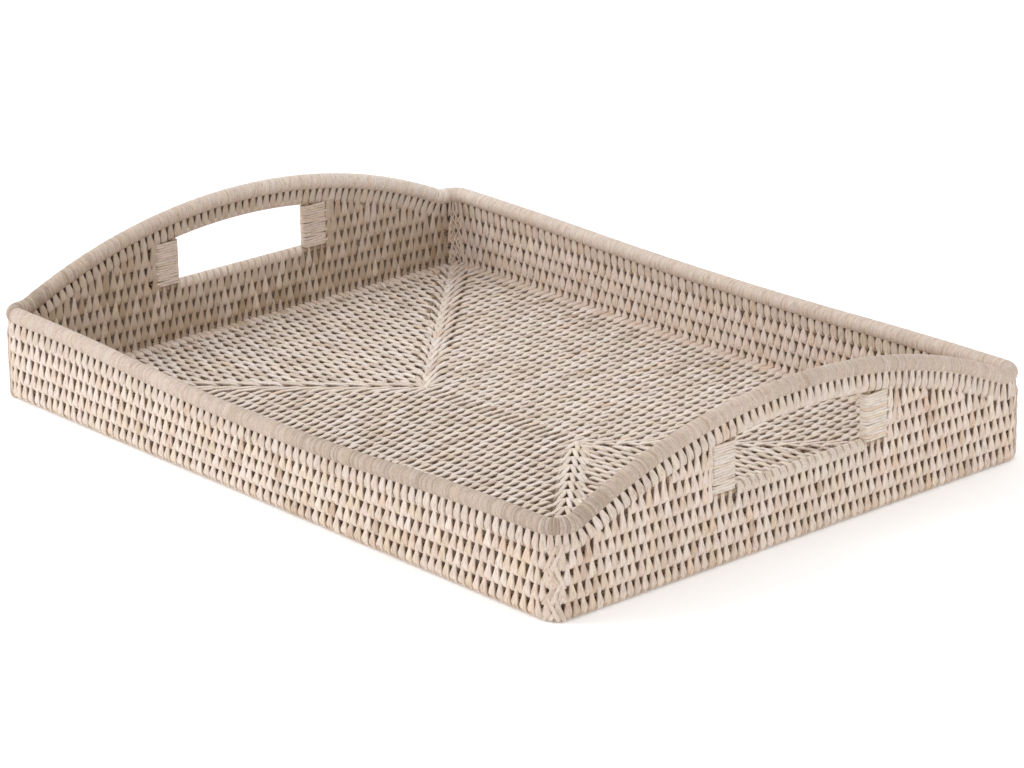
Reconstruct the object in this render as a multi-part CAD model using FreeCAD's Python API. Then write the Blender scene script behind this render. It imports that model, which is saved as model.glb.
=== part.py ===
"""Rectangular serving tray of coiled rattan with an arched, cut-out handle in each end wall.

Rattan rods lie beside one another as a flat base and on top of one another as four walls. Flat cane
is stitched round each pair of neighbouring rods, and the rim, the handle sills and the handle posts
are wrapped closely with the same cane. Every rod is a solid of its own. The cane is simplified to
closed solids that hold the rods in their tunnels.

Millimetres. +Z is up, X is the long direction, and the origin is the middle of the resting face.
"""
import FreeCAD
import Part
import math
import os
from FreeCAD import Vector as V

# Overall size, outside to outside, and the heights of the rim's upper edge
LENGTH = 462.0
WIDTH = 338.0
HANDLE_HEIGHT = 87.2
CORNER_HEIGHT = 52.65

# Rods and cane
ROD_RADIUS = 2.1
CANE = 1.0
RIM_ROD_RADIUS = 3.5
RIM_RADIUS = 4.6
SILL_RADIUS = 3.6

# Walls: five courses under the rim, and the rim's own centre plane a little further in
WALL_COURSES = 5
COURSE_PITCH = 8.6
WALL_SETBACK = 0.5
CORNER_BEND = 8.9
FRONT_DIP = 6.5
BACK_DIP = 3.0
ARCH_FOOT_RADIUS = 15.0

# Base: rounded rectangles of rod, one outside the other, round a straight middle rod
BASE_COURSES = 18
INNER_BEND = 3.5
BEND_GROWTH = 0.35

# Handle openings: half width between the posts, and the rods that stand side by side in a post
OPENING_HALF = 46.0
POST_RODS = 3
POST_ROD_STEP = 5.4
INFILL_COURSES = 2
ROD_END_GAP = 0.2

# Derived sizes
STITCH_RADIUS = ROD_RADIUS + CANE
BASE_THICKNESS = 2 * STITCH_RADIUS
RIM_LEVEL = CORNER_HEIGHT - RIM_RADIUS
ARCH_RISE = HANDLE_HEIGHT - CORNER_HEIGHT
CORNER_X = LENGTH / 2 - RIM_RADIUS - CORNER_BEND
CORNER_Y = WIDTH / 2 - RIM_RADIUS - CORNER_BEND
WALL_BEND = CORNER_BEND + RIM_RADIUS - WALL_SETBACK - STITCH_RADIUS
WALL_X = CORNER_X + WALL_BEND
WALL_Y = CORNER_Y + WALL_BEND
BASE_PITCH = WALL_Y / (BASE_COURSES + 1)
MIDDLE_ROD_HALF = WALL_X - WALL_Y
TOP_COURSE_LEVEL = STITCH_RADIUS + (WALL_COURSES - 1) * COURSE_PITCH
UNDER_ROD_DROP = RIM_LEVEL - TOP_COURSE_LEVEL
POST_OUTER = OPENING_HALF + 2 * STITCH_RADIUS + (POST_RODS - 1) * POST_ROD_STEP

# Each side: half its straight run, and how (along, outward, up) turns into x, y, z
SIDES = {
    "front": (CORNER_X, lambda u, out, z: V(u, -CORNER_Y - out, z)),
    "right": (CORNER_Y, lambda u, out, z: V(CORNER_X + out, u, z)),
    "back": (CORNER_X, lambda u, out, z: V(-u, CORNER_Y + out, z)),
    "left": (CORNER_Y, lambda u, out, z: V(-CORNER_X - out, -u, z)),
}
ENDS = ("left", "right")


def line(a, b):
    return Part.LineSegment(a, b).toShape()


def arc(a, middle, b):
    return Part.Arc(a, middle, b).toShape()


def arch_radii(half, rise, foot):
    """Radius of the crown and the turn of each foot, for a rise over a half span."""
    total = (half ** 2 + rise ** 2) / (2 * rise)
    return total - foot, math.asin(half / total)


def arch_edges(at, half, level, rise, foot):
    """Three tangent arcs, level at both ends, that rise (or dip, if negative) to the middle."""
    if rise == 0:
        return [line(at(-half, level), at(half, level))]
    sign = math.copysign(1, rise)
    crown, turn = arch_radii(half, abs(rise), foot)

    def on_foot(side, angle):
        return at(side * (half - foot * math.sin(angle)), level + sign * foot * (1 - math.cos(angle)))

    def on_crown(angle):
        return at(crown * math.sin(angle), level + rise - sign * crown * (1 - math.cos(angle)))

    return [
        arc(on_foot(-1, 0), on_foot(-1, turn / 2), on_foot(-1, turn)),
        arc(on_crown(-turn), on_crown(0), on_crown(turn)),
        arc(on_foot(1, turn), on_foot(1, turn / 2), on_foot(1, 0)),
    ]


def side_edges(side, bend, level, rise, foot):
    """One side's centre line, with half of the corner bend at each end."""
    half, place = SIDES[side]

    def corner(end):
        angles = [math.radians(a) for a in (45, 22.5, 0)]
        points = [place(end * (half + bend * math.sin(a)), bend * math.cos(a), level) for a in angles]
        return arc(*points) if end < 0 else arc(*reversed(points))

    run = arch_edges(lambda u, z: place(u, bend, z), half, level, rise, foot)
    return [corner(-1)] + run + [corner(1)]


def dip_foot(side, dip):
    """Foot radius that makes a dip of equal arcs along a long side."""
    half = SIDES[side][0]
    return (half ** 2 + dip ** 2) / (4 * dip) if dip else 0.0


def course_side(side, bend, level, share, arched, offset=0.0):
    """A side of a course: share is the part of the long walls' dip that it takes."""
    if side in ENDS:
        rise = ARCH_RISE if arched else 0.0
        return side_edges(side, bend, level, rise, ARCH_FOOT_RADIUS + offset)
    dip = share * (FRONT_DIP if side == "front" else BACK_DIP)
    return side_edges(side, bend, level, -dip, dip_foot(side, dip))


def course_edges(bend, level, share, arched, offset=0.0):
    edges = []
    for side in SIDES:
        edges += course_side(side, bend, level, share, arched, offset)
    return edges


def tube(edges, radius):
    """A round rod along a chain of tangent edges."""
    first = edges[0]
    start = first.valueAt(first.FirstParameter)
    along = first.tangentAt(first.FirstParameter)
    section = Part.Wire(Part.Circle(start, along, radius).toShape())
    return Part.Wire(edges).makePipeShell([section], True, False)


def prism(edges, vector):
    return Part.Face(Part.Wire(edges)).extrude(vector)


def polygon_edges(points):
    return [line(a, b) for a, b in zip(points, points[1:] + points[:1])]


# ---- rods ----

def base_rods():
    """The straight middle rod and the rectangular courses round it."""
    level = STITCH_RADIUS
    half = MIDDLE_ROD_HALF
    rods = {"base_middle_rod": tube([line(V(-half, 0, level), V(half, 0, level))], ROD_RADIUS)}
    for course in range(1, BASE_COURSES + 1):
        reach = course * BASE_PITCH
        bend = INNER_BEND + BEND_GROWTH * course
        rods[f"base_course_rod_{course:02d}"] = tube(
            rounded_rectangle(half + reach, reach, bend, level), ROD_RADIUS)
    return rods


def rounded_rectangle(half_x, half_y, bend, level):
    """Closed centre line of a rectangular course with round corners."""
    edges = []
    corners = [(1, -1), (1, 1), (-1, 1), (-1, -1)]
    ends = []
    for index, (sx, sy) in enumerate(corners):
        centre = V(sx * (half_x - bend), sy * (half_y - bend), level)
        angles = [math.radians(90 * index - 90 + step) for step in (0, 45, 90)]
        ends.append([centre + V(bend * math.cos(a), bend * math.sin(a), 0) for a in angles])
    for index, points in enumerate(ends):
        edges.append(arc(*points))
        edges.append(line(points[2], ends[(index + 1) % len(ends)][0]))
    return edges


def wall_rods():
    """Level wall courses, the course under the rim that follows both arches, and the rim rod."""
    rods = {}
    for course in range(1, WALL_COURSES):
        level = STITCH_RADIUS + (course - 1) * COURSE_PITCH
        share = (course - 1) / WALL_COURSES
        rods[f"wall_course_rod_{course}"] = tube(course_edges(WALL_BEND, level, share, False), ROD_RADIUS)
    rods["under_rim_rod"] = tube(under_rim_edges(), ROD_RADIUS)
    rods["rim_rod"] = tube(course_edges(CORNER_BEND, RIM_LEVEL, 1.0, True), RIM_ROD_RADIUS)
    return rods


def under_rim_edges():
    share = (WALL_COURSES - 1) / WALL_COURSES
    return course_edges(WALL_BEND, TOP_COURSE_LEVEL, share, True, UNDER_ROD_DROP)


def under_rod_arc():
    """Radius of the under-rim rod's arch in an end wall, and the level of its centre of curvature."""
    crown, _ = arch_radii(CORNER_Y, ARCH_RISE, ARCH_FOOT_RADIUS + UNDER_ROD_DROP)
    return crown, TOP_COURSE_LEVEL + ARCH_RISE - crown


def arch_height(u, inset=0.0):
    """Height, at a distance along the end wall, of a curve inside the under-rim rod's arch."""
    crown, centre = under_rod_arc()
    return centre + math.sqrt((crown - inset) ** 2 - u ** 2)


def rod_end(level):
    """How far along the end wall a level rod can run before it meets the under-rim rod."""
    crown, centre = under_rod_arc()
    return math.sqrt((crown - 2 * ROD_RADIUS - ROD_END_GAP) ** 2 - (level - centre) ** 2)


def straight_rod(side, start, end, level):
    place = SIDES[side][1]
    return tube([line(place(start, WALL_BEND, level), place(end, WALL_BEND, level))], ROD_RADIUS)


def sill_rod(side):
    end = rod_end(TOP_COURSE_LEVEL)
    return straight_rod(side, -end, end, TOP_COURSE_LEVEL)


def infill_rods(side):
    """Short rods that fill the wall under the arch, outside both posts."""
    rods = []
    for course in range(1, INFILL_COURSES + 1):
        level = TOP_COURSE_LEVEL + course * COURSE_PITCH
        for hand in (-1, 1):
            rods.append(straight_rod(side, hand * POST_OUTER, hand * rod_end(level), level))
    return Part.makeCompound(rods)


def post_positions(hand):
    first = OPENING_HALF + STITCH_RADIUS
    return [hand * (first + index * POST_ROD_STEP) for index in range(POST_RODS)]


def post_rods(side, hand, sill, under_rim):
    """The upright rods of one post, cut to sit between the sill rod and the arch."""
    place = SIDES[side][1]
    rods = []
    for u in post_positions(hand):
        foot = place(u, WALL_BEND, TOP_COURSE_LEVEL)
        top = place(u, WALL_BEND, arch_height(u))
        rods.append(tube([line(foot, top)], ROD_RADIUS).cut(sill).cut(under_rim))
    return Part.makeCompound([solid for rod in rods for solid in rod.Solids])


# ---- cane ----

def rim_wrap(side, rim):
    """Close cane wrapping round one side of the rim rod."""
    edges = course_side(side, CORNER_BEND, RIM_LEVEL, 1.0, True)
    return tube(edges, RIM_RADIUS).cut(rim)


def sill_wrap(side, sill):
    place = SIDES[side][1]
    ends = [place(u, WALL_BEND, TOP_COURSE_LEVEL) for u in (-OPENING_HALF, OPENING_HALF)]
    return tube([line(*ends)], SILL_RADIUS).cut(sill)


def handle_opening(side, half, depth):
    """Prism of the hole under the arch, from the sill rod's level to the arch's stitched edge."""
    place = SIDES[side][1]
    out = WALL_BEND - depth

    def at(u, z):
        return place(u, out, z)

    side_top = arch_height(half, STITCH_RADIUS)
    outline = [
        line(at(-half, TOP_COURSE_LEVEL), at(half, TOP_COURSE_LEVEL)),
        line(at(half, TOP_COURSE_LEVEL), at(half, side_top)),
        arc(at(half, side_top), at(0, arch_height(0, STITCH_RADIUS)), at(-half, side_top)),
        line(at(-half, side_top), at(-half, TOP_COURSE_LEVEL)),
    ]
    return prism(outline, place(0, WALL_BEND + depth, 0) - place(0, out, 0))


def post_wrap(side, hand, rods):
    """Cane wound round a post's rods: a slot-shaped tube that fits under the arch."""
    place = SIDES[side][1]
    inner, *_, outer = post_positions(hand)
    tall = arch_height(0) - TOP_COURSE_LEVEL

    def at(u, out):
        return place(u, WALL_BEND + out, TOP_COURSE_LEVEL)

    reach = hand * STITCH_RADIUS
    outline = [
        line(at(inner, -STITCH_RADIUS), at(outer, -STITCH_RADIUS)),
        arc(at(outer, -STITCH_RADIUS), at(outer + reach, 0), at(outer, STITCH_RADIUS)),
        line(at(outer, STITCH_RADIUS), at(inner, STITCH_RADIUS)),
        arc(at(inner, STITCH_RADIUS), at(inner - reach, 0), at(inner, -STITCH_RADIUS)),
    ]
    room = handle_opening(side, POST_OUTER, 2 * STITCH_RADIUS)
    return prism(outline, V(0, 0, tall)).common(room).cut(rods)


def wall_stitching(side, others):
    """Cane round the rods of one wall, from the resting face up into the rim."""
    half, place = SIDES[side]
    out = WALL_BEND - STITCH_RADIUS
    rise = ARCH_RISE if side in ENDS else -(FRONT_DIP if side == "front" else BACK_DIP)
    foot = ARCH_FOOT_RADIUS if side in ENDS else dip_foot(side, -rise)
    top = arch_edges(lambda u, z: place(u, out, z), half, RIM_LEVEL, rise, foot)
    outline = top + [
        line(place(half, out, RIM_LEVEL), place(half, out, 0)),
        line(place(half, out, 0), place(-half, out, 0)),
        line(place(-half, out, 0), place(-half, out, RIM_LEVEL)),
    ]
    wall = prism(outline, place(0, out + 2 * STITCH_RADIUS, 0) - place(0, out, 0))
    if side in ENDS:
        wall = wall.cut(handle_opening(side, POST_OUTER, 2 * STITCH_RADIUS))
    return wall.cut(others)


def corner_block(sx, sy):
    """Quarter ring between two walls, before the rods are cut out of it."""
    centre = V(sx * CORNER_X, sy * CORNER_Y, 0)
    start = {(1, 1): 0, (-1, 1): 90, (-1, -1): 180, (1, -1): 270}[(sx, sy)]
    outer = Part.makeCylinder(WALL_BEND + STITCH_RADIUS, RIM_LEVEL, centre, V(0, 0, 1), 90)
    inner = Part.makeCylinder(WALL_BEND - STITCH_RADIUS, RIM_LEVEL, centre, V(0, 0, 1), 90)
    ring = outer.cut(inner)
    ring.rotate(centre, V(0, 0, 1), start)
    return ring


def base_stitching(rods, corners):
    """Cane round the base rods: one mitred plate to each side of the base."""
    x = WALL_X - STITCH_RADIUS
    y = WALL_Y - STITCH_RADIUS
    apex = MIDDLE_ROD_HALF
    outlines = {
        "front": [V(-apex, 0, 0), V(-x, -y, 0), V(x, -y, 0), V(apex, 0, 0)],
        "right": [V(apex, 0, 0), V(x, -y, 0), V(x, y, 0)],
        "back": [V(apex, 0, 0), V(x, y, 0), V(-x, y, 0), V(-apex, 0, 0)],
        "left": [V(-apex, 0, 0), V(-x, y, 0), V(-x, -y, 0)],
    }
    plates = {}
    for side, points in outlines.items():
        plate = prism(polygon_edges(points), V(0, 0, BASE_THICKNESS))
        plates[f"base_{side}_stitching"] = plate.cut(corners).cut(rods)
    return plates


def build():
    nodes = base_rods()
    plate_cutter = Part.makeCompound(list(nodes.values()))
    corner_names = {(-1, -1): "front_left", (1, -1): "front_right", (1, 1): "back_right", (-1, 1): "back_left"}
    corners = {name: corner_block(*signs) for signs, name in corner_names.items()}
    nodes.update(base_stitching(plate_cutter, Part.makeCompound(list(corners.values()))))

    walls = wall_rods()
    nodes.update(walls)
    loops = Part.makeCompound(list(walls.values()))
    wraps = {f"rim_{side}_wrap": rim_wrap(side, walls["rim_rod"]) for side in SIDES}
    nodes.update(wraps)
    loops_and_wraps = [loops] + list(wraps.values())

    for side in ENDS:
        sill = sill_rod(side)
        nodes[f"{side}_sill_rod"] = sill
        nodes[f"{side}_infill_rods"] = infill_rods(side)
        nodes[f"{side}_sill_wrap"] = sill_wrap(side, sill)
        handle = [sill, nodes[f"{side}_infill_rods"], nodes[f"{side}_sill_wrap"]]
        for hand in (-1, 1):
            # Along the left end the run goes from back to front
            place = "front" if (hand < 0) == (side == "right") else "back"
            rods = post_rods(side, hand, sill, walls["under_rim_rod"])
            wrap = post_wrap(side, hand, Part.makeCompound([rods, sill]))
            nodes[f"{side}_{place}_post_rods"] = rods
            nodes[f"{side}_{place}_post_wrap"] = wrap
            handle += [rods, wrap]
        nodes[f"{side}_wall_stitching"] = wall_stitching(side, loops_and_wraps + handle)
    for side in ("front", "back"):
        nodes[f"{side}_wall_stitching"] = wall_stitching(side, loops_and_wraps)
    for name, block in corners.items():
        nodes[f"{name}_corner_stitching"] = block.cut(loops_and_wraps)
    return nodes


def main():
    os.makedirs("parts", exist_ok=True)
    for name, shape in build().items():
        shape.exportStep(f"parts/{name}.step")


main()
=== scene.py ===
"""Looks of the coiled rattan serving tray: every stitch and turn of cane round the CAD rods.

The rods are the CAD's own. Each strand of cane is a closed strip of mesh that loops round one rod or
round two neighbouring rods, laid where the frame says the rods are. Metres, in the CAD frame.
"""
import math
import bpy
import numpy as np
from mathutils import Matrix, Vector


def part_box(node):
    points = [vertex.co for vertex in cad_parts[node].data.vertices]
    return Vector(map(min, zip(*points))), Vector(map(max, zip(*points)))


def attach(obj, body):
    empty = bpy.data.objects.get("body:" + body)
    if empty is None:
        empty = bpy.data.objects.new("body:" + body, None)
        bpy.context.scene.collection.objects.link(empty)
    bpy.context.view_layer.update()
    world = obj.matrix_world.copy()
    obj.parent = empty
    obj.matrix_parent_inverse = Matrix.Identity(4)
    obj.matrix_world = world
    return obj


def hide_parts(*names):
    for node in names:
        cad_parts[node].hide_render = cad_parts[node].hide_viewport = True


MM = 0.001
RANDOM = np.random.default_rng(20)

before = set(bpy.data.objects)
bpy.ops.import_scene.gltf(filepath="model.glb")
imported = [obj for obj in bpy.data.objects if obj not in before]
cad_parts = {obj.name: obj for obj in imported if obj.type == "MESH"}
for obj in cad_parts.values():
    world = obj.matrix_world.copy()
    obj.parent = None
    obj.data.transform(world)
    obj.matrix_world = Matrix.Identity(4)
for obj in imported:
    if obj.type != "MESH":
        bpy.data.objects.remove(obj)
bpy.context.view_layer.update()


# ---- sizes, from the frame and from the design's few free numbers ----

def middle_height(node):
    low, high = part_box(node)
    return (low.z + high.z) / 2


def count_nodes(prefix):
    return sum(name.startswith(prefix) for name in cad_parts)


# Radius of the rods, and the level, reach and spacing of their middle lines
ROD = (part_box("base_middle_rod")[1].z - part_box("base_middle_rod")[0].z) / 2
BASE_LEVEL = middle_height("base_middle_rod")
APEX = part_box("base_middle_rod")[1].x
WALL_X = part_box("wall_course_rod_1")[1].x - ROD
WALL_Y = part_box("wall_course_rod_1")[1].y - ROD
BASE_COURSES = count_nodes("base_course_rod_")
BASE_PITCH = WALL_Y / (BASE_COURSES + 1)
WALL_COURSES = count_nodes("wall_course_rod_")
# The course above the level ones: the one under the rim, or on an end wall the sill and its line
TOP_COURSE = WALL_COURSES + 1
SILL_LEVEL = middle_height("left_sill_rod")
COURSE_PITCH = (SILL_LEVEL - BASE_LEVEL) / WALL_COURSES

# The rim, the bends at the corners, and the curves of the walls' upper edges
RIM_ROD = 3.5 * MM
RIM_LEVEL = 48.05 * MM
RIM_SETBACK = 1.0 * MM
UNDER_DROP = RIM_LEVEL - SILL_LEVEL
WALL_BEND = 9.9 * MM
INNER_BEND = 3.5 * MM
BEND_GROWTH = 0.35 * MM
CORNER_X = WALL_X - WALL_BEND
CORNER_Y = WALL_Y - WALL_BEND
CORNER_RUN = math.pi / 2 * WALL_BEND
ARCH_FOOT = 15.0 * MM
ARCH_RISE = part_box("rim_rod")[1].z - RIM_ROD - RIM_LEVEL
DIP = {"front": 6.5 * MM, "right": 0.0, "back": 3.0 * MM, "left": 0.0}

# Along an end wall, from its middle: to the side of the hand hole, the end of the sill's rod, and the
# outer side of a post
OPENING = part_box("left_sill_wrap")[1].y
SILL_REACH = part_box("left_sill_rod")[1].y
POST_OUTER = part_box("right_back_post_wrap")[1].y

# Thickness of the cane, and the radius of a turn of it round a rod
CANE = 0.9 * MM
STITCH_TURN = ROD + CANE / 2
RIM_TURN = RIM_ROD + CANE / 2

X, Y, Z = np.eye(3)
# Each side: direction along it, outward direction, half its straight run, and how far out it starts
SIDES = {
    "front": (X, -Y, CORNER_X, CORNER_Y),
    "right": (Y, X, CORNER_Y, CORNER_X),
    "back": (-X, Y, CORNER_X, CORNER_Y),
    "left": (-Y, -X, CORNER_Y, CORNER_X),
}
ENDS = ("left", "right")
# Each corner: the side that ends there and the side that starts there
CORNERS = {
    "front_right": ("front", "right"),
    "back_right": ("right", "back"),
    "back_left": ("back", "left"),
    "front_left": ("left", "front"),
}
# Distance from one stitch to the next
WALL_STEP = {"front": 5.7 * MM, "right": 5.05 * MM, "back": 5.7 * MM, "left": 5.05 * MM}
BASE_STEP = {"front": 5.75 * MM, "right": 6.2 * MM, "back": 5.75 * MM, "left": 6.2 * MM}


# ---- strands of cane ----

# Cross-section of a flat strand: half widths across, and thicknesses from the middle of the cane
SECTION = np.array([(-1, -0.5), (-1, 0.2), (-0.75, 0.5), (0.75, 0.5), (1, 0.2), (1, -0.5)])
# Painted shade in the gaps between strands at each of those points, which also stands for less whitewash
# there, and how much of it shows on close turns
EDGE_SHADE = np.array([0.3, 0.65, 0.0, 0.0, 0.65, 0.3])
CLOSE_EDGE_SHADE = 0.4


class Bundle:
    """Gathers strands into one mesh. Its points carry three attributes for the materials: fibre (place
    along and across the strand, and a number of the strand's own), tone, and shade, which is painted
    shade in the gaps, under the turns and inside the tray, together with less whitewash there."""

    def __init__(self):
        self.points, self.faces, self.fibre, self.tone, self.shade = [], [], [], [], []
        self.count = 0

    def strand(self, line, across, up, width, tone, shade=0.0, edges=1.0):
        """A closed strip along a line of points, with its width and upward direction at each point.
        It stays above the ground."""
        n, m = len(line), len(SECTION)
        side = SECTION[:, 0] * width[:, None] / 2
        rise = SECTION[:, 1:] * CANE
        points = line[:, None] + across * side[..., None] + up[:, None] * rise
        points[..., 2] = np.maximum(points[..., 2], 0)
        self.points.append(points.reshape(-1, 3))
        ring = np.arange(n * m).reshape(n, m) + self.count
        following = np.roll(ring, -1, axis=0)
        quads = np.stack([ring, np.roll(ring, -1, 1), np.roll(following, -1, 1), following], -1)
        self.faces.append(quads.reshape(-1, 4))
        steps = np.linalg.norm(np.diff(line, axis=0, prepend=line[:1]), axis=1)
        along = np.broadcast_to(np.cumsum(steps)[:, None], (n, m))
        self.fibre.append(np.stack([along, side, np.full((n, m), RANDOM.random())], -1).reshape(-1, 3))
        self.tone.append(np.full(n * m, tone))
        # Painted shade: the strand's own, and that in the gaps at its edges
        self.shade.append(np.maximum(np.broadcast_to(shade, n)[:, None], EDGE_SHADE * edges).ravel())
        self.count += n * m

    def piece(self, name, look, slot, *nodes):
        """Makes the mesh, which rides on the tray's one body and stands for those CAD nodes."""
        faces = np.concatenate(self.faces)
        mesh = bpy.data.meshes.new(name)
        mesh.vertices.add(self.count)
        mesh.vertices.foreach_set("co", np.concatenate(self.points).ravel())
        mesh.loops.add(faces.size)
        mesh.loops.foreach_set("vertex_index", faces.ravel())
        mesh.polygons.add(len(faces))
        mesh.polygons.foreach_set("loop_start", np.arange(0, faces.size, 4))
        mesh.update(calc_edges=True)
        mesh.shade_smooth()
        for label, kind, field, values in (("fibre", "FLOAT_VECTOR", "vector", self.fibre),
                                           ("tone", "FLOAT", "value", self.tone),
                                           ("shade", "FLOAT", "value", self.shade)):
            data = mesh.attributes.new(label, kind, "POINT").data
            data.foreach_set(field, np.concatenate(values).astype(np.float32).ravel())
        mesh.materials.append(look)
        piece = bpy.data.objects.new(name, mesh)
        bpy.context.scene.collection.objects.link(piece)
        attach(piece, "root")
        if nodes:
            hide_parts(*nodes)


def unit(v):
    return v / np.linalg.norm(v, axis=-1, keepdims=True)


def smooth(t):
    """From 0 to 1 without a kink at either end."""
    t = np.clip(t, 0, 1)
    return t * t * (3 - 2 * t)


# How far handwork strays: the place, lean and lift of a stitch, and the radius of a close turn
PLACE_STRAY, LEAN_STRAY, LIFT_STRAY, TURN_STRAY = 0.2 * MM, 0.3 * MM, 0.07 * MM, 0.04 * MM
# Middle and spread of the strands' tones, from 0 (brown) to 1 (pale)
TONE_MIDDLE, TONE_SPREAD = 0.52, 0.15


def jitter(size):
    """A small random amount."""
    return float(RANDOM.normal(0, size))


def random_tone():
    return float(np.clip(RANDOM.normal(TONE_MIDDLE, TONE_SPREAD), 0, 1))


# Steps of a belt's turn round each rod, and where it has points between the two, as shares of the way up
TURN_STEPS = 5
RUN_SHARES = np.array([0.06, 0.22, 0.48, 0.74])[:, None]


def belt(gap, low_radius, high_radius):
    """Closed loop round two circles a gap apart: its points (out, up) from the lower centre, and the
    outward normal at each."""
    lean = math.asin(np.clip((low_radius - high_radius) / gap, -0.95, 0.95))
    over_top = np.linspace(lean, math.pi - lean, TURN_STEPS + 1)
    under_foot = np.linspace(math.pi - lean, 2 * math.pi + lean, TURN_STEPS + 1)
    points, normals = [], []
    for angles, level, radius, next_radius, run in (
            (over_top, gap, high_radius, low_radius, 1 - RUN_SHARES[::-1]),
            (under_foot, 0, low_radius, high_radius, RUN_SHARES)):
        turn = np.stack([np.cos(angles), np.sin(angles)], -1)
        start = turn[-1] * radius + (0, level)
        finish = turn[-1] * next_radius + (0, gap - level)
        normals += [turn, np.repeat(turn[-1:], len(run), 0)]
        points += [turn * radius + (0, level), start + (finish - start) * run]
    return np.concatenate(points), np.concatenate(normals)


# Shares of the way up a stitch: where it has its second width, where it is narrowest and drawn in
# most, where it has its width on the upper rod, and where it is no longer drawn in
FOOT_END, NARROWEST, HEAD_START, HUG_END = 0.1, 0.74, 0.9, 0.93
# How far a lean goes on beyond the rods' middle lines
LEAN_RANGE = (-0.2, 1.2)
# How much the width varies from stitch to stitch, and how much the darkening of its inner side (painted shade
# inside the tray together with less whitewash), within limits
WIDTH_SPREAD = 0.04
SHADE_AND_BARE_SPREAD, SHADE_AND_BARE_RANGE = 0.22, (0.4, 1.5)
# Painted shade on a stitch where it turns over the upper rod and under the lower one, and how sharply
# that sets in
TOP_SHADE, FOOT_SHADE, SHADE_CONTRAST = 1.0, 0.35, 1.25


def stitch(bundle, low, high, out, widths, low_radius=STITCH_TURN, high_radius=STITCH_TURN, lean=0.0,
           back=0.0, tone=None, lift=0.0, along=None, hug=0.0, shade_and_bare=0.0, skew=0.0, cover=0.0, slant=0.0,
           bend=0.0, full=(FOOT_END, FOOT_END)):
    """One closed loop of cane round two rods, from a point on the lower rod's line to one on the
    upper rod's, with its outer side facing out.

    widths: on the lower rod, just above it, below the upper rod and on the upper rod
    lean: how far its outer side leans along the rods from foot to head, and its inner side the other way
    back: how far its inner side is shifted along the rods
    lift: how far it stands off the rods
    along: direction of the rods, where that isn't square to the stitch
    hug: how far it is drawn in under the upper rod
    shade_and_bare: how dark its inner side is, a painted shade inside the tray together with less whitewash
    skew: share of its outer side's spread that goes to one side only
    cover: share by which its inner side widens towards the greatest width, or shrinks from it
    slant: how far its turn over the upper rod is shifted
    bend: curvature of the rods, which makes it wider on the outer side
    full: how far up its outer and its inner side keep their second width
    """
    rise = high - low
    gap = np.linalg.norm(rise)
    rise = rise / gap
    out = unit(out - rise * (out @ rise))
    across = unit(np.cross(rise, out)) if along is None else along
    points, normals = belt(gap, low_radius + lift, high_radius + lift)
    height = points[:, 1] / gap
    points[:, 0] -= hug * np.sign(points[:, 0]) * np.interp(height, (0, NARROWEST, HUG_END), (0, 1, 0))
    line = low + points[:, :1] * out + points[:, 1:] * rise
    up = normals[:, :1] * out + normals[:, 1:] * rise

    inner = smooth(-normals[:, 0] * 2)
    outer_width, inner_width = (
        np.interp(height, (0, FOOT_END, reach, NARROWEST, HEAD_START), (*widths[:2], *widths[1:]))
        for reach in full)
    width = outer_width + inner * (inner_width - outer_width)
    width = width * RANDOM.normal(1, WIDTH_SPREAD) * (1 + bend * points[:, 0])

    shift = back * (1 - normals[:, 0]) / 2 - lean * (0.5 - np.clip(height, *LEAN_RANGE)) * normals[:, 0]
    shift = shift + skew * (width - width.min()) / 2 * np.maximum(normals[:, 0], 0)
    shift = shift + slant * np.maximum(normals[:, 1], 0)
    line = line + across * shift[:, None]
    width = width + cover * inner * (width.max() - width)

    # Painted shade where the stitch turns over and under the rods; on its inner side, painted shade together
    # with less whitewash
    turning = np.where(normals[:, 1] > 0, TOP_SHADE, FOOT_SHADE) * np.abs(normals[:, 1])
    inner_shade_and_bareness = shade_and_bare * inner * float(np.clip(RANDOM.normal(1, SHADE_AND_BARE_SPREAD), *SHADE_AND_BARE_RANGE))
    shade = np.maximum(np.clip(turning * SHADE_CONTRAST - (SHADE_CONTRAST - 1), 0, 1), inner_shade_and_bareness)
    bundle.strand(line, across, up, width, random_tone() if tone is None else tone, shade)


# Points round a plain turn of cane
RING_POINTS = 14


def ring(bundle, centre, along, out, radius, width, tone, bend=0.0, back=0.0, slant=0.0):
    """One closed turn of cane round one rod. On a bend, the turn is wider on its outer side."""
    out = unit(out - along * (out @ along))
    rise = np.cross(along, out)
    angles = np.linspace(0, 2 * math.pi, RING_POINTS, endpoint=False)
    up = np.cos(angles)[:, None] * out + np.sin(angles)[:, None] * rise
    shift = back * (1 - np.cos(angles)) / 2 + slant * np.sin(angles)
    line = centre + up * radius + along * shift[:, None]
    width = width * (1 + bend * radius * np.cos(angles))
    bundle.strand(line, along, up, width, tone, edges=CLOSE_EDGE_SHADE)


# ---- where the rods are ----

def arch(u, half, rise, foot):
    """Height of three tangent arcs over a straight run: a crown, and a foot at each end."""
    total = (half ** 2 + rise ** 2) / (2 * rise)
    crown, turn = total - foot, math.asin(half / total)
    u = np.abs(u)
    on_crown = rise - crown + np.sqrt(np.maximum(crown ** 2 - u ** 2, 0))
    on_foot = foot - np.sqrt(np.maximum(foot ** 2 - np.maximum(half - u, 0) ** 2, 0))
    return np.where(u < crown * math.sin(turn), on_crown, np.where(u < half, on_foot, 0.0))


def dip(side, u, share=1.0):
    """How far a long side sags: the same arcs upside down, with the crown as round as the feet."""
    half = SIDES[side][2]
    depth = share * DIP[side]
    if depth == 0:
        return np.zeros_like(u)
    return arch(u, half, depth, (half ** 2 + depth ** 2) / (4 * depth))


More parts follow.
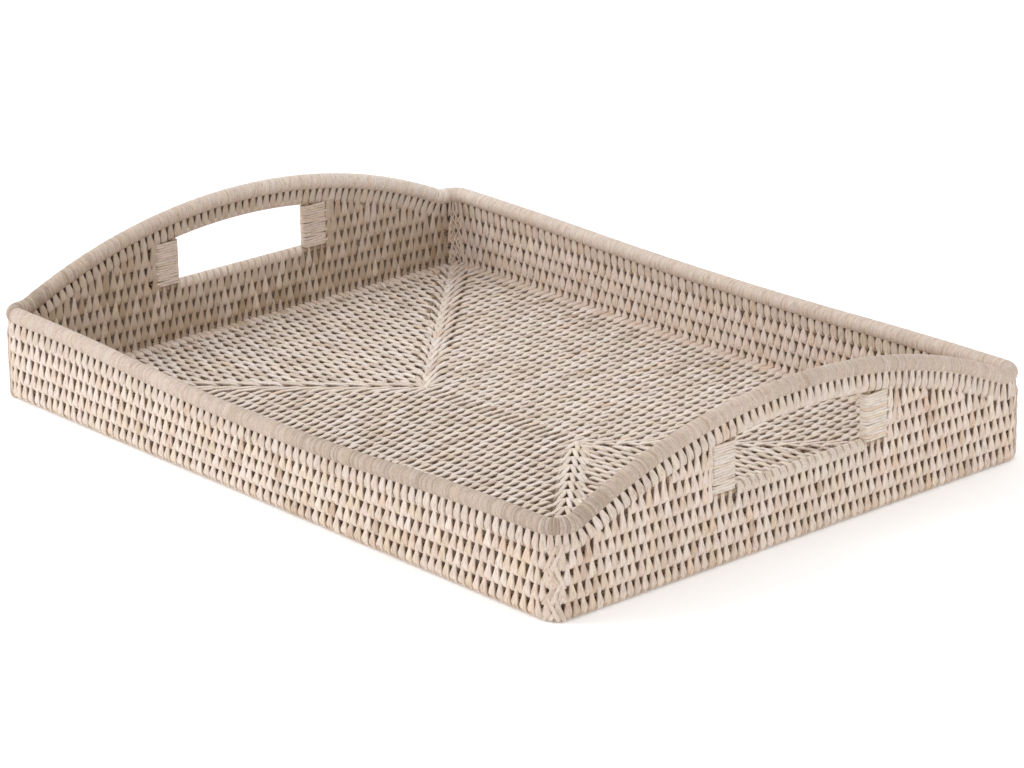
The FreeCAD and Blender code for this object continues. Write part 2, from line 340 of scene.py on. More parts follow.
def wall_place(side, s, z, inward=0.0):
    """Point, direction along and outward direction at a station of a side, round its corners too."""
    along, out, half, start = SIDES[side]
    flat = float(np.clip(s, -half, half))
    turn = (s - flat) / WALL_BEND
    outward = math.cos(turn) * out + math.sin(turn) * along
    forward = math.cos(turn) * along - math.sin(turn) * out
    return flat * along + start * out + (WALL_BEND - inward) * outward + z * Z, forward, outward


def course_level(side, u, course):
    """Height of a level wall course. The sag grows evenly from none in the first to all in the rim."""
    return BASE_LEVEL + (course - 1) * COURSE_PITCH - float(dip(side, u, (course - 1) / TOP_COURSE))


def under_rim_level(side, u):
    if side in ENDS:
        return SILL_LEVEL + float(arch(u, CORNER_Y, ARCH_RISE, ARCH_FOOT + UNDER_DROP))
    return course_level(side, u, TOP_COURSE)


def stations(limit, step, odd):
    """Evenly spaced stations between -limit and limit, half a step over on odd rows."""
    count = int(limit / step) + 2
    spots = (np.arange(-count, count + 1) + (0.5 if odd else 0.0)) * step
    return spots[np.abs(spots) <= limit]


# ---- walls ----

# How the stitches of each wall differ: widths and back as shares of the step, the rest as stitch() says
# Their inner sides are darker on the end walls, most on the left one: painted shade inside the tray, together
# with less whitewash
WALL_STITCH = {
    "front": {"widths": (0.85, 0.98, 0.46, 0.46), "full": (0.1, 0.36), "cover": 0.05,
              "back": 0.48, "skew": -0.6, "shade_and_bare": 0.12},
    "right": {"widths": (0.85, 0.98, 0.48, 0.48), "full": (0.1, 0.2), "cover": 0.14,
              "back": 0.39, "skew": 0.8, "shade_and_bare": 0.5},
    "back": {"widths": (0.85, 0.98, 0.58, 0.46), "full": (0.5, 0.36), "cover": -0.32,
             "back": 0.48, "skew": 0.0, "shade_and_bare": 0.12},
    "left": {"widths": (0.85, 0.98, 0.58, 0.46), "full": (0.5, 0.1), "cover": -0.22,
             "back": 0.39, "skew": 0.0, "shade_and_bare": 0.8},
}
# The two lowest courses are darker inside, a painted shade low down inside the tray
LOW_COURSES, LOW_COURSE_SHADE = 2, 1.2
# How far a stitch leans, and how far that strays
WALL_LEAN, WALL_LEAN_STRAY = 0.4 * MM, 0.28 * MM
# Change of tone at the start and at the end of each wall: painted light and shade, darker on the right wall,
# which faces away from the light, and towards the near corner, lighter on the back wall
WALL_TONE = {"front": (0.05, -0.2), "right": (-0.15, -0.15), "back": (0.08, 0.08), "left": (-0.05, -0.05)}
# How far past a wall's straight run its own stitches go, and how far before its end those stop that join
# it to the base
CORNER_CLEAR = 1.5 * MM
BASE_JOIN_CLEAR = 2 * MM
# Beside a post: how far from it the first stitch stands, then, as shares of the step, how much further
# off the next one has to be, and from what distance on there is room for one more between the two
POST_CLEAR = 1.2 * MM
NEAREST_GAP, WIDEST_GAP = 0.35, 1.05
# Cover of the stitches that reach up to the arched course
ARCH_COVER = 0.2


def wall_stitch(bundle, side, s, low, high, **options):
    """A stitch at one station of a wall, between two heights."""
    foot, along, out = wall_place(side, s, low)
    head = wall_place(side, s, high)[0]
    # Its tone carries the wall's painted light and shade
    stitch(bundle, foot, head, out, lean=WALL_LEAN + jitter(WALL_LEAN_STRAY), lift=jitter(LIFT_STRAY),
           tone=random_tone() + float(np.interp(s, (-CORNER_X, CORNER_X), WALL_TONE[side])), along=along,
           **options)


def wall_cane(side):
    """All stitches of one wall, with those that join it to the base."""
    bundle = Bundle()
    half = SIDES[side][2]
    step = WALL_STEP[side]
    shares = WALL_STITCH[side]
    sizes = {**shares, "widths": np.array(shares["widths"]) * step, "back": shares["back"] * step}
    for course in range(1, TOP_COURSE):
        below_sill = side in ENDS and course == WALL_COURSES
        # Painted shade inside, more on the lowest courses
        shade_and_bare = sizes["shade_and_bare"] * (LOW_COURSE_SHADE if course <= LOW_COURSES else 1)
        for s in stations(half + CORNER_CLEAR, step, course % 2):
            s += jitter(PLACE_STRAY)
            if below_sill and abs(s) < OPENING:
                continue
            low = course_level(side, s, course)
            if below_sill and abs(s) > SILL_REACH:
                high = under_rim_level(side, s)
            else:
                high = course_level(side, s, course + 1)
            wall_stitch(bundle, side, s, low, high, **{**sizes, "shade_and_bare": shade_and_bare})
    base_to_wall(bundle, side, step, sizes)
    if side in ENDS:
        arch_infill(bundle, side, step, sizes)
    bundle.piece(f"{side}_wall_cane", CANE_LOOK, "cane_stitching", f"{side}_wall_stitching")


def base_to_wall(bundle, side, step, sizes):
    """The stitches that join the outermost base course to the lowest wall course."""
    along, out, half, start = SIDES[side]
    inner = start + WALL_BEND - BASE_PITCH
    for s in stations(half - BASE_JOIN_CLEAR, step, False):
        s += jitter(PLACE_STRAY / 2)
        low = s * along + inner * out + BASE_LEVEL * Z
        high = s * along + (inner + BASE_PITCH) * out + BASE_LEVEL * Z
        stitch(bundle, low, high, Z, along=along, **sizes)


def infill_reach(course):
    """Where an infill course above the sill meets the arch."""
    crown = (CORNER_Y ** 2 + ARCH_RISE ** 2) / (2 * ARCH_RISE) - ARCH_FOOT - UNDER_DROP
    centre = SILL_LEVEL + ARCH_RISE - crown
    level = SILL_LEVEL + course * COURSE_PITCH
    return math.sqrt((crown - 2 * ROD) ** 2 - (level - centre) ** 2)


def arch_infill(bundle, side, step, sizes):
    """Between the sill's line, the infill courses and the arched course, outside both posts."""
    reaches = [SILL_REACH, infill_reach(1), infill_reach(2)]
    first = POST_OUTER + POST_CLEAR
    for row, reach in enumerate(reaches):
        low = SILL_LEVEL + row * COURSE_PITCH
        next_reach = reaches[row + 1] if row + 1 < len(reaches) else 0.0
        spots = [s for s in stations(reach, step, (TOP_COURSE + row) % 2)
                 if abs(s) > first + NEAREST_GAP * step]
        nearest = min((s for s in spots if s > 0), default=first)
        extra = [first, (first + nearest) / 2] if nearest - first > WIDEST_GAP * step else [first]
        for s in spots + extra + [-s for s in extra]:
            shape = {**sizes, "back": 0.0, "skew": 0.0} if abs(s) in extra else sizes
            s += jitter(PLACE_STRAY / 2)
            if abs(s) <= next_reach:
                wall_stitch(bundle, side, s, low, low + COURSE_PITCH, **shape)
            elif under_rim_level(side, s) - low > 2 * ROD:
                wall_stitch(bundle, side, s, low, under_rim_level(side, s), **{**shape, "cover": ARCH_COVER})


# ---- rim, sills and posts ----

# On each side's rim and sill, one turn in so many also takes in the course below
RIM_TURNS = {"front": 5, "right": 4, "back": 5, "left": 4}
# Tone of the wrapping from the start to the end of each side's rim, which is painted light and shade, and
# cover of the turns that join
RIM_TONE = {"front": (0.0, -0.05, -0.32, -0.36), "right": (-0.45, -0.12, -0.25, -0.08),
            "back": (0.05, 0.1, 0.15, 0.3), "left": (0.5, 0.35, -0.05, -0.4)}
RIM_COVER = {"front": 0.3, "right": 0.3, "back": -0.25, "left": -0.15}
SILL_COVER = 0.1
# How dark those turns are inside, as a share of a wall's stitches (painted shade together with less
# whitewash), and how far they lean and are drawn in
RIM_SHADE_AND_BARE, RIM_LEAN = 0.7, 0.2 * MM
RIM_HUG, CORNER_HUG = 0.85 * MM, 0.8 * MM
# Least tone of a turn of wrapping, of one that joins, and of one at a corner
WRAP_LEAST, JOIN_LEAST, CORNER_LEAST = 0.25, 0.15, 0.1
# Width of a close turn as a share of its step, so that the turns overlap
WRAP_WIDTH = 1.2
# Radius of the plain turns round the rim, of those that join, and of all turns round a sill
PLAIN_TURN, JOINING_TURN, SILL_TURN = RIM_TURN + 0.2 * MM, RIM_TURN - 0.1 * MM, STITCH_TURN + 0.45 * MM
RIM_SLANT, SILL_SLANT = 0.5 * MM, 0.3 * MM
RIM_SAMPLES = 2401
# On a corner of the rim: plain turns and their overlap, joining turns and their widths
CORNER_TURNS, CORNER_OVERLAP = 11, 1.04
CORNER_JOINS, CORNER_JOIN_WIDTHS = 4, np.array([2.8, 3.1, 1.8, 1.2]) * MM


def wrap_tone(least=WRAP_LEAST):
    """Tone of a turn of wrapping, which varies half as much as that of a stitch."""
    return least + 0.5 * random_tone()


def joining_widths(side, pitch):
    """Widths of a turn that also takes in the course below: a wall's stitch, but a close turn on top."""
    return np.array([*WALL_STITCH[side]["widths"][:3], WRAP_WIDTH / RIM_TURNS[side]]) * pitch


def rim_run(side):
    """Tables along a side's rim: length (halfway between the rim's and the lower rod's), station,
    height and slope."""
    half = SIDES[side][2]
    u = np.linspace(-half, half, RIM_SAMPLES)
    if side in ENDS:
        z = RIM_LEVEL + arch(u, half, ARCH_RISE, ARCH_FOOT)
    else:
        z = RIM_LEVEL - dip(side, u)
    tilt = np.arctan(np.gradient(z, u))
    drop = UNDER_DROP / 2 if side in ENDS else 0.0
    steps = np.hypot(np.diff(u + drop * np.sin(tilt)), np.diff(z - drop * np.cos(tilt)))
    length = np.concatenate([[0], np.cumsum(steps)])
    return length - length[-1] / 2, u, z, tilt


def rim_cane(side):
    """Close turns round the rim. One turn in four or five also takes in the course below."""
    bundle = Bundle()
    style = WALL_STITCH[side]
    length, u, z, tilt = rim_run(side)
    turns = RIM_TURNS[side]
    count = turns * round(length[-1] / WALL_STEP[side])
    step = length[-1] / count
    pitch = turns * step
    back = pitch * style["back"]
    for index in range(-count, count + 1):
        s, level, lean = (float(np.interp(index * step, length, table)) for table in (u, z, tilt))
        centre, forward, outward = wall_place(side, s, level, RIM_SETBACK)
        direction = math.cos(lean) * forward + math.sin(lean) * Z
        down = math.sin(lean) * forward - math.cos(lean) * Z
        if side in ENDS:
            foot = centre + down * UNDER_DROP + RIM_SETBACK * outward
        else:
            foot = wall_place(side, s, course_level(side, s, TOP_COURSE))[0]
        # Painted light and shade along the rim
        least = float(np.interp(index, np.linspace(-count, count, len(RIM_TONE[side])), RIM_TONE[side]))
        ring(bundle, centre, direction, outward, PLAIN_TURN + jitter(TURN_STRAY), step * WRAP_WIDTH,
             wrap_tone(least), slant=RIM_SLANT)
        if index % turns == 0:
            stitch(bundle, foot, centre, outward, joining_widths(side, pitch), STITCH_TURN, JOINING_TURN,
                   lean=RIM_LEAN, back=back, tone=wrap_tone(max(least, JOIN_LEAST)), along=direction,
                   hug=RIM_HUG, shade_and_bare=RIM_SHADE_AND_BARE * style["shade_and_bare"], skew=style["skew"], cover=RIM_COVER[side],
                   slant=RIM_SLANT, full=style["full"])
        elif side in ENDS and abs(s) < OPENING:
            ring(bundle, foot, direction, outward, STITCH_TURN, step * WRAP_WIDTH, wrap_tone(), back=back)
    rim_corner(bundle, side)
    bundle.piece(f"rim_{side}_cane", WRAP_LOOK, "cane_wrapping", f"rim_{side}_wrap")


def rim_corner(bundle, side):
    """Turns of cane round the rim's corner at the far end of a side."""
    half = SIDES[side][2]
    bend = WALL_BEND - RIM_SETBACK
    width = bend * math.pi / 2 / CORNER_TURNS * CORNER_OVERLAP
    # Painted light and shade of the rim's end
    least = RIM_TONE[side][-1]
    for index in range(CORNER_TURNS):
        s = half + (index + 0.5) / CORNER_TURNS * CORNER_RUN
        centre, forward, outward = wall_place(side, s, RIM_LEVEL, RIM_SETBACK)
        ring(bundle, centre, forward, outward, PLAIN_TURN, width, wrap_tone(least), bend=1 / bend)
    for spot in np.linspace(0, CORNER_RUN, CORNER_JOINS + 2)[1:-1]:
        centre, forward, outward = wall_place(side, half + spot, RIM_LEVEL, RIM_SETBACK)
        foot = wall_place(side, half + spot, SILL_LEVEL)[0]
        stitch(bundle, foot, centre, outward, CORNER_JOIN_WIDTHS, STITCH_TURN, JOINING_TURN,
               tone=wrap_tone(CORNER_LEAST), along=forward, hug=CORNER_HUG, bend=1 / WALL_BEND)


def sill_cane(side):
    """Close cane round a handle's sill. Every fourth turn also takes in the course below."""
    bundle = Bundle()
    style = WALL_STITCH[side]
    pitch = WALL_STEP[side]
    back = style["back"] * pitch
    step = pitch / RIM_TURNS[side]
    count = int(OPENING / step)
    for index in range(-count, count + 1):
        s = index * step
        centre, along, out = wall_place(side, s, SILL_LEVEL)
        if index % RIM_TURNS[side]:
            ring(bundle, centre, along, out, SILL_TURN, step * WRAP_WIDTH, wrap_tone(), back=back,
                 slant=SILL_SLANT)
        else:
            foot = wall_place(side, s, course_level(side, s, WALL_COURSES))[0]
            stitch(bundle, foot, centre, out, joining_widths(side, pitch), STITCH_TURN, SILL_TURN,
                   tone=wrap_tone(), lean=WALL_LEAN, back=back, along=along, shade_and_bare=style["shade_and_bare"],
                   skew=style["skew"], cover=SILL_COVER, slant=SILL_SLANT)
    bundle.piece(f"{side}_sill_cane", WRAP_LOOK, "cane_wrapping", f"{side}_sill_wrap")


# Winding of the posts: its step and its width as a share of that, and how far the first and the last
# turn are from the rods below and above
POST_STEP, POST_WIDTH = 1.45 * MM, 1.12
POST_FOOT, POST_HEAD = 2.6 * MM, 2.4 * MM
# One turn in so many lies over the others and reaches further out, to the stitches beside the post
CATCH_TURNS, CATCH_REACH, CATCH_LIFT = 4, 1.9 * MM, 0.1 * MM
POST_TONE = {"left": 0.12, "right": 0.3}


def post_cane(side, place):
    """Cane wound level round the rods of a post, which stands at the front or back of an end wall."""
    bundle = Bundle()
    # Stations run from front to back on the right wall, and from back to front on the left one
    hand = -1 if (place == "front") == (side == "right") else 1
    inner, outer = hand * (OPENING + STITCH_TURN), hand * (POST_OUTER - STITCH_TURN)
    bottom = SILL_LEVEL + POST_FOOT
    top = min(under_rim_level(side, inner), under_rim_level(side, outer)) - POST_HEAD
    count = int((top - bottom) / POST_STEP)
    for index in range(count + 1):
        z = bottom + (top - bottom) * index / count
        catches = index % CATCH_TURNS == 1
        low, _, out = wall_place(side, inner, z)
        high = wall_place(side, outer + hand * CATCH_REACH if catches else outer, z)[0]
        stitch(bundle, low, high, out, np.full(4, POST_STEP * POST_WIDTH),
               lift=(CATCH_LIFT if catches else 0.0) + jitter(TURN_STRAY), lean=jitter(LEAN_STRAY),
               tone=wrap_tone(POST_TONE[side]), along=Z)
    bundle.piece(f"{side}_{place}_post_cane", WRAP_LOOK, "cane_wrapping", f"{side}_{place}_post_wrap")


# ---- upright corners ----

# Plain stitches: their step and widths, how far they stray, and their change of tone, which is painted shade
# on the corners
CORNER_STEP, CORNER_WIDTHS = 3.9 * MM, np.array([3.2, 3.8, 1.8, 1.8]) * MM
CORNER_STRAY, CORNER_TONE = 0.15 * MM, -0.15
# Crossing stitches: how far they reach past the rods, and how far they stand off them, where one of
# each pair lies over the other
CROSS_WIDTHS = np.array([1.7, 1.8, 1.4, 1.4]) * MM
CROSS_PAST = 0.4 * MM
CROSS_LIFT, CROSS_OVER = 0.5 * MM, 0.3 * MM
# Their middles, and how far foot and head are from those, as shares of the way round the corner
CROSS_MIDDLES, CROSS_FOOT, CROSS_HEAD, CROSS_STRAY = (0.4, 0.6), 0.17, 0.12, 0.03


def past_straight(side, course):
    """How far round the corner the last stitch of a wall's course stands."""
    half = SIDES[side][2]
    return stations(half + CORNER_CLEAR, WALL_STEP[side], course % 2)[-1] - half


def corner_cane(name):
    """Stitches round an upright corner, with two pairs that cross over each pair of courses."""
    bundle = Bundle()
    side, following = CORNERS[name]
    half = SIDES[side][2]
    middle_out = wall_place(side, half + CORNER_RUN * 0.5, 0.0)[2]
    for course in range(1, TOP_COURSE):
        low = BASE_LEVEL + (course - 1) * COURSE_PITCH
        high = low + COURSE_PITCH
        start, finish = past_straight(side, course), CORNER_RUN - past_straight(following, course)
        count = round((finish - start) / CORNER_STEP)
        for spot in np.linspace(start, finish, count + 1)[1:-1]:
            spot += jitter(CORNER_STRAY)
            foot, along, out = wall_place(side, half + spot, low)
            head = wall_place(side, half + spot, high)[0]
            # Darker by a painted shade at the corner
            stitch(bundle, foot, head, out, CORNER_WIDTHS, along=along, lean=jitter(LEAN_STRAY),
                   tone=random_tone() + CORNER_TONE, bend=1 / WALL_BEND)
        for sign in (-1, 1):
            for share in CROSS_MIDDLES:
                foot_share = share - CROSS_FOOT * sign + jitter(CROSS_STRAY)
                head_share = share + CROSS_HEAD * sign + jitter(CROSS_STRAY)
                foot = wall_place(side, half + CORNER_RUN * foot_share, low - CROSS_PAST)[0]
                head = wall_place(side, half + CORNER_RUN * head_share, high + CROSS_PAST)[0]
                stitch(bundle, foot, head, middle_out, CROSS_WIDTHS, tone=wrap_tone(CORNER_LEAST),
                       lift=CROSS_LIFT + CROSS_OVER * sign * (-1) ** course, bend=1 / WALL_BEND)
    bundle.piece(f"{name}_corner_cane", CANE_LOOK, "cane_stitching", f"{name}_corner_stitching")


# ---- base ----

# Widths of the stitches as shares of the step, and how far they lean from the inner rod to the outer
BASE_WIDTHS = np.array([0.5, 0.5, 0.45, 0.45])
BASE_LEAN = {"front": 0.5 * MM, "back": -0.3 * MM, "left": 0.6 * MM, "right": 0.6 * MM}
# How far round a course's corners they go
SECTOR_PAST = 0.5 * MM
# The base's front and back have too many stitches for one piece each, and are split at this course
SPLIT_COURSE = 11
# Each seam runs from an end of the middle rod to a corner, towards these signs of x and y
SEAM_SIGNS = {"front_left": (-1, -1), "front_right": (1, -1), "back_right": (1, 1), "back_left": (-1, 1)}
# A seam's stitches on each pair of courses, in millimetres: distance from the corner's middle on the
# inner course, the same on the outer course, and lift
SEAM_FANS = {
    "front_left": [(-5, -9.5, 0.0), (-2.4, -5.2, 0.3), (5.0, 9.5, 0.0), (2.2, 5.0, 0.3)],
    "front_right": [(-4.5, -9.5, 0.0), (4.5, 9.5, 0.0), (-2.0, -5.6, 0.2), (2.2, 6.2, 0.2), (-0.9, 1.1, 0.8)],
    "back_right": [(-4, -9, 0.0), (4, 9, 0.0), (-2, 3, 0.5), (2, -3, 0.8)],
    "back_left": [(-4, -9.5, 0.0), (4, 9, 0.0), (-1.5, -5.5, 0.3), (1.0, -1.6, 0.6), (1.2, 3.2, 0.3)],
}
SEAM_WIDTHS = np.array([2.7, 2.7, 2.5, 2.5]) * MM
SEAM_LIFT_STRAY, SEAM_LEAN_STRAY = 0.05 * MM, 0.2 * MM


def base_bend(course):
    """Radius of a base course's corners. Course 0 is the straight rod in the middle."""
    return INNER_BEND + BEND_GROWTH * course if course else 0.0


def base_sector(side, first, last, name):
    """Stitches of one side of the base between two courses."""
    bundle = Bundle()
    along, out, _, _ = SIDES[side]
    start, reach = (APEX, 0.0) if side in ENDS else (0.0, APEX)
    step = BASE_STEP[side]
    for course in range(first, last):
        if course == 0 and side in ENDS:
            continue
        limit = reach + course * BASE_PITCH - base_bend(course) + SECTOR_PAST
        for s in stations(limit, step, course % 2):
            s += jitter(PLACE_STRAY)
            low = s * along + (start + course * BASE_PITCH) * out + BASE_LEVEL * Z
            stitch(bundle, low, low + BASE_PITCH * out, Z, BASE_WIDTHS * step, back=step / 2, along=along,
                   lean=BASE_LEAN[side] + jitter(LEAN_STRAY), lift=jitter(LIFT_STRAY))
    bundle.piece(name, BASE_LOOK, "cane_stitching", f"base_{side}_stitching")


def base_corner_place(signs, course, s):
    """Point of a base course at a distance from its corner's middle, on the side that faces an end wall
    if s > 0, and on the one that faces a long wall if not."""
    bend = base_bend(course)
    centre = np.array([APEX, 0.0]) + course * BASE_PITCH - bend
    arc = bend * math.pi / 4
    flat = max(abs(s) - arc, 0.0)
    angle = math.pi / 4 - (np.clip(s, -arc, arc) / bend if bend else 0.0)
    x = centre[0] + bend * math.cos(angle)
    y = centre[1] + bend * math.sin(angle)
    if s > 0:
        y -= flat
    else:
        x -= flat
    return np.array([signs[0] * x, signs[1] * y, BASE_LEVEL])


def base_seam(name):
    """The stitches that turn the base's corners, one fan to each pair of courses."""
    bundle = Bundle()
    signs = SEAM_SIGNS[name]
    for course in range(BASE_COURSES + 1):
        for inner, outer, lift in SEAM_FANS[name]:
            low = base_corner_place(signs, course, inner * MM if course else 0.0)
            high = base_corner_place(signs, course + 1, outer * MM)
            stitch(bundle, low, high, Z, SEAM_WIDTHS, lift=lift * MM + jitter(SEAM_LIFT_STRAY),
                   lean=jitter(SEAM_LEAN_STRAY))
    bundle.piece(f"base_{name}_seam_cane", BASE_LOOK, "cane_stitching")


# ---- materials ----

# Cane's colours from its darkest tone to its palest, for stitches, wrapping and base; those of rods;
# and what they are multiplied by, from strand to strand and along the fibres
STITCH_TONES = [(0.05, (0.56, 0.41, 0.31)), (0.25, (0.70, 0.57, 0.47)), (0.5, (0.80, 0.69, 0.60)),
                (0.75, (0.84, 0.74, 0.67)), (0.95, (0.90, 0.82, 0.76))]
WRAP_TONES = [(0.0, (0.42, 0.34, 0.27)), (0.1, (0.55, 0.455, 0.375)), (0.35, (0.68, 0.575, 0.495)),
              (0.6, (0.77, 0.68, 0.60)), (0.95, (0.88, 0.82, 0.76))]
BASE_TONES = [(0.05, (0.46, 0.37, 0.30)), (0.25, (0.65, 0.55, 0.47)), (0.5, (0.79, 0.70, 0.62)),
              (0.75, (0.88, 0.80, 0.74)), (0.95, (0.96, 0.90, 0.85))]
ROD_TONES = [(0.3, (0.29, 0.20, 0.135)), (0.7, (0.44, 0.33, 0.24))]
STRAND_HUES = [(0.0, (1.0, 0.88, 0.78)), (0.06, (1.0, 0.96, 0.92)), (0.3, (1.0, 0.97, 0.99)),
               (0.65, (0.98, 0.99, 1.0)), (1.0, (1.0, 0.98, 0.89))]
STREAKS = [(0.32, (0.58, 0.52, 0.47)), (0.45, (0.86, 0.83, 0.81)), (0.58, (1.0, 1.0, 1.0))]
# Scales of the noise: fibres along a strand, across it and from strand to strand; stains; a rod's grain
FIBRE_SCALES = (220.0, 1000.0, 90.0)
STAIN_SCALE = 28.0
GRAIN_SCALE = 900.0
# How much the strand's own tone, stains, hue and streaks show, and the painted shade in gaps, turns and
# inside the tray together with missing whitewash
TONE_SHARE, STAIN_SHARE, HUE_SHARE, STREAK_SHARE, SHADE_AND_BARE_SHARE = 0.75, 0.3, 0.9, 0.85, 0.75


def material(name, build):
    look = bpy.data.materials.new(name)
    look.use_nodes = True
    build(look.node_tree, look.node_tree.nodes["Principled BSDF"])
    return look


def node(tree, kind, inputs, **settings):
    """A node with its settings and its inputs, each linked to another node's output or set to a value."""
    made = tree.nodes.new(kind)
    for key, value in settings.items():
        setattr(made, key, value)
    for key, value in inputs.items():
        if isinstance(value, bpy.types.NodeSocket):
            tree.links.new(value, made.inputs[key])
        else:
            made.inputs[key].default_value = value
    return made


def attribute(tree, name, output):
    return node(tree, "ShaderNodeAttribute", {}, attribute_name=name).outputs[output]


def noise(tree, where, scale, roughness=0.5):
    return node(tree, "ShaderNodeTexNoise", {"Vector": where, "Scale": scale, "Detail": 4.0,
                                             "Roughness": roughness}).outputs[0]


def ramp(tree, fac, stops):
    made = node(tree, "ShaderNodeValToRGB", {0: fac})
    line = made.color_ramp
    while len(line.elements) < len(stops):
        line.elements.new(0.5)
    for element, (position, colour) in zip(line.elements, stops):
        element.position = position
        element.color = (*colour, 1)
    return made.outputs[0]


def mix(tree, fac, a, b, mode="MIX"):
    """A mix of two colours; a Mix node has them at inputs 6 and 7 and the result at output 2."""
    return node(tree, "ShaderNodeMix", {0: fac, 6: a, 7: b}, data_type="RGBA", blend_type=mode).outputs[2]


def maths(tree, operation, a, b):
    return node(tree, "ShaderNodeMath", {0: a, 1: b}, operation=operation).outputs[0]


def bump(tree, shader, height, strength, distance):
    made = node(tree, "ShaderNodeBump", {"Height": height, "Strength": strength, "Distance": distance})
    tree.links.new(made.outputs[0], shader.inputs["Normal"])


def cane_nodes(tones, shade_and_bare, roughness):
    """Flat cane: strand-to-strand tones, fine fibres along it, and painted shade in the gaps and turns, mixed
    with the colour of unwashed cane.
    """
    def build(tree, shader):
        fibre = attribute(tree, "fibre", "Vector")
        tone = attribute(tree, "tone", "Fac")
        shade = attribute(tree, "shade", "Fac")
        where = node(tree, "ShaderNodeTexCoord", {}).outputs["Object"]
        stretched = node(tree, "ShaderNodeVectorMath", {0: fibre, 1: FIBRE_SCALES},
                         operation="MULTIPLY").outputs[0]
        fine = noise(tree, stretched, 1.0, 0.7)
        stains = noise(tree, where, STAIN_SCALE, 0.6)
        stained = maths(tree, "ADD", maths(tree, "MULTIPLY", tone, TONE_SHARE),
                        maths(tree, "MULTIPLY", stains, STAIN_SHARE))
        strand = node(tree, "ShaderNodeSeparateXYZ", {0: fibre}).outputs[2]
        colour = mix(tree, HUE_SHARE, ramp(tree, stained, tones), ramp(tree, strand, STRAND_HUES), "MULTIPLY")
        colour = mix(tree, STREAK_SHARE, colour, ramp(tree, fine, STREAKS), "MULTIPLY")
        # Painted shade: the shade attribute draws the colour towards that of unwashed cane
        colour = mix(tree, maths(tree, "MULTIPLY", shade, SHADE_AND_BARE_SHARE), colour, (*shade_and_bare, 1))
        tree.links.new(colour, shader.inputs["Base Color"])
        rough = node(tree, "ShaderNodeMapRange", {0: fine, 3: roughness - 0.08, 4: roughness + 0.12})
        tree.links.new(rough.outputs[0], shader.inputs["Roughness"])
        bump(tree, shader, fine, 0.5, 0.15 * MM)
        shader.inputs["Specular IOR Level"].default_value = 0.35
    return build


def rod_nodes(tree, shader):
    """Rattan rod: brown, with fine grain."""
    grain = noise(tree, node(tree, "ShaderNodeTexCoord", {}).outputs["Object"], GRAIN_SCALE)
    tree.links.new(ramp(tree, grain, ROD_TONES), shader.inputs["Base Color"])
    bump(tree, shader, grain, 0.4, 0.2 * MM)
    shader.inputs["Roughness"].default_value = 0.75


# Each with the colour that its painted shade and unwashed cane draw towards
CANE_LOOK = material("whitewashed_cane", cane_nodes(STITCH_TONES, shade_and_bare=(0.36, 0.26, 0.17), roughness=0.62))
BASE_LOOK = material("whitewashed_base_cane", cane_nodes(BASE_TONES, shade_and_bare=(0.42, 0.34, 0.26), roughness=0.62))
WRAP_LOOK = material("wrapping_cane", cane_nodes(WRAP_TONES, shade_and_bare=(0.40, 0.31, 0.22), roughness=0.55))
ROD_LOOK = material("rattan_rod", rod_nodes)


# ---- the tray ----

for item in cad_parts.values():
    item.data.materials.clear()
    item.data.materials.append(ROD_LOOK)

for side in SIDES:
    wall_cane(side)
    rim_cane(side)
for name in CORNERS:
    corner_cane(name)
for side in ENDS:
    sill_cane(side)
    for place in ("front", "back"):
        post_cane(side, place)
for side in ("front", "back"):
    base_sector(side, 0, SPLIT_COURSE, f"base_{side}_inner_cane")
    base_sector(side, SPLIT_COURSE, BASE_COURSES, f"base_{side}_outer_cane")
for side in ENDS:
    base_sector(side, 0, BASE_COURSES, f"base_{side}_cane")
for name in SEAM_SIGNS:
    base_seam(name)


# ---- floor, light and camera ----

FLOOR_REACH = 6.0
# The floor is this far below the tray, so that the two surfaces don't coincide
FLOOR_DROP = 0.3 * MM
WHITE = (1.0, 1.0, 1.0, 1)


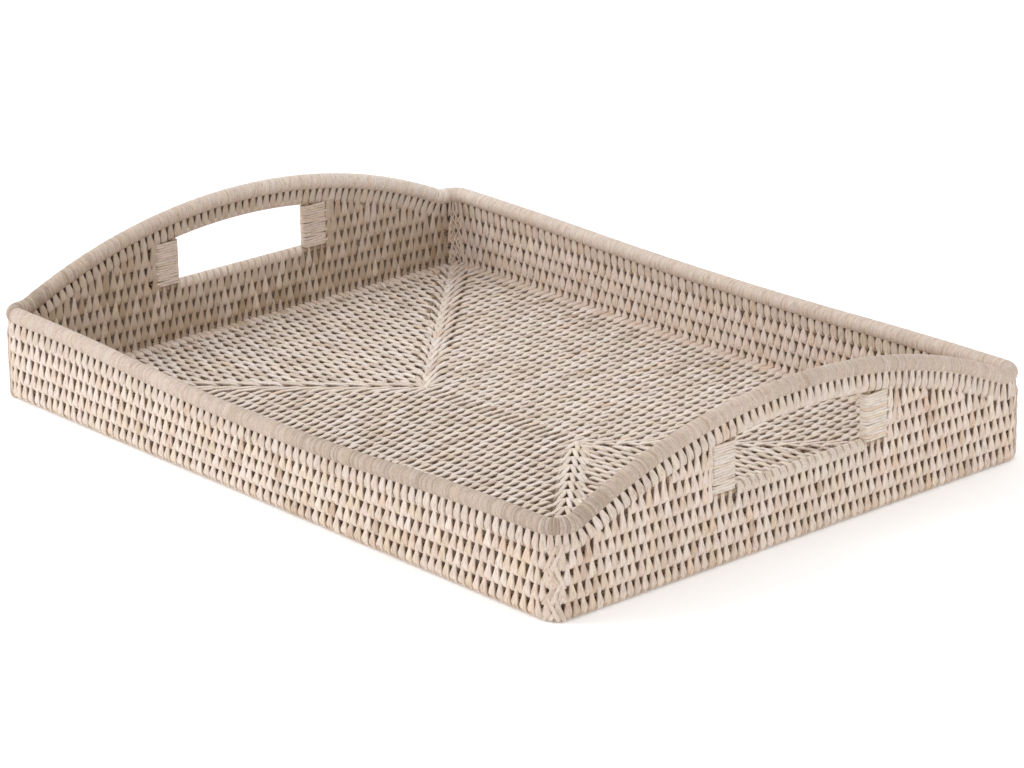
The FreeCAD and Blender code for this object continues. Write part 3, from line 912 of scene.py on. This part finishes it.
def floor():
    mesh = bpy.data.meshes.new("floor")
    corners = [(x * FLOOR_REACH, y * FLOOR_REACH, 0) for x, y in ((-1, -1), (1, -1), (1, 1), (-1, 1))]
    mesh.from_pydata(corners, [], [(0, 1, 2, 3)])
    sheet = bpy.data.objects.new("floor", mesh)
    bpy.context.scene.collection.objects.link(sheet)
    sheet.location.z = -FLOOR_DROP

    def build(tree, shader):
        shader.inputs["Base Color"].default_value = (0.95, 0.95, 0.95, 1)
        shader.inputs["Emission Color"].default_value = WHITE
        shader.inputs["Emission Strength"].default_value = 0.16
        shader.inputs["Roughness"].default_value = 0.8
        shader.inputs["Specular IOR Level"].default_value = 0.1
    mesh.materials.append(material("pale_floor", build))


def area_light(name, place, size, power):
    """A round lamp aimed at the middle of the tray."""
    light = bpy.data.lights.new(name, "AREA")
    light.shape = "DISK"
    light.size = size
    light.energy = power
    lamp = bpy.data.objects.new(name, light)
    bpy.context.scene.collection.objects.link(lamp)
    lamp.location = place
    lamp.rotation_euler = (-Vector(place)).to_track_quat("-Z", "Y").to_euler()


def lighting():
    world = bpy.data.worlds.new("studio")
    bpy.context.scene.world = world
    world.use_nodes = True
    background = world.node_tree.nodes["Background"]
    background.inputs["Color"].default_value = WHITE
    background.inputs["Strength"].default_value = 1.0
    area_light("key", (-1.3, -1.8, 1.6), size=1.3, power=18)
    bpy.context.scene.view_settings.view_transform = "Standard"


def camera():
    """Looks down on the tray from the front right, held at a slight slant."""
    azimuth, elevation, roll = (math.radians(a) for a in (48.70, 19.51, -0.82))
    target, distance = Vector((-0.0451, 0.0487, 0.0)), 2.2697
    back = Vector((math.sin(azimuth) * math.cos(elevation), -math.cos(azimuth) * math.cos(elevation),
                   math.sin(elevation)))
    level = Vector((0, 0, 1)).cross(back).normalized()
    upright = back.cross(level)
    right = math.cos(roll) * level + math.sin(roll) * upright
    up = math.cos(roll) * upright - math.sin(roll) * level
    lens = bpy.data.cameras.new("camera")
    lens.lens = 142.2
    lens.sensor_width = 36.0
    eye = bpy.data.objects.new("camera", lens)
    bpy.context.scene.collection.objects.link(eye)
    turn = Matrix((right, up, back)).transposed().to_4x4()
    eye.matrix_world = Matrix.Translation(target + back * distance) @ turn
    bpy.context.scene.camera = eye


floor()
lighting()
camera()
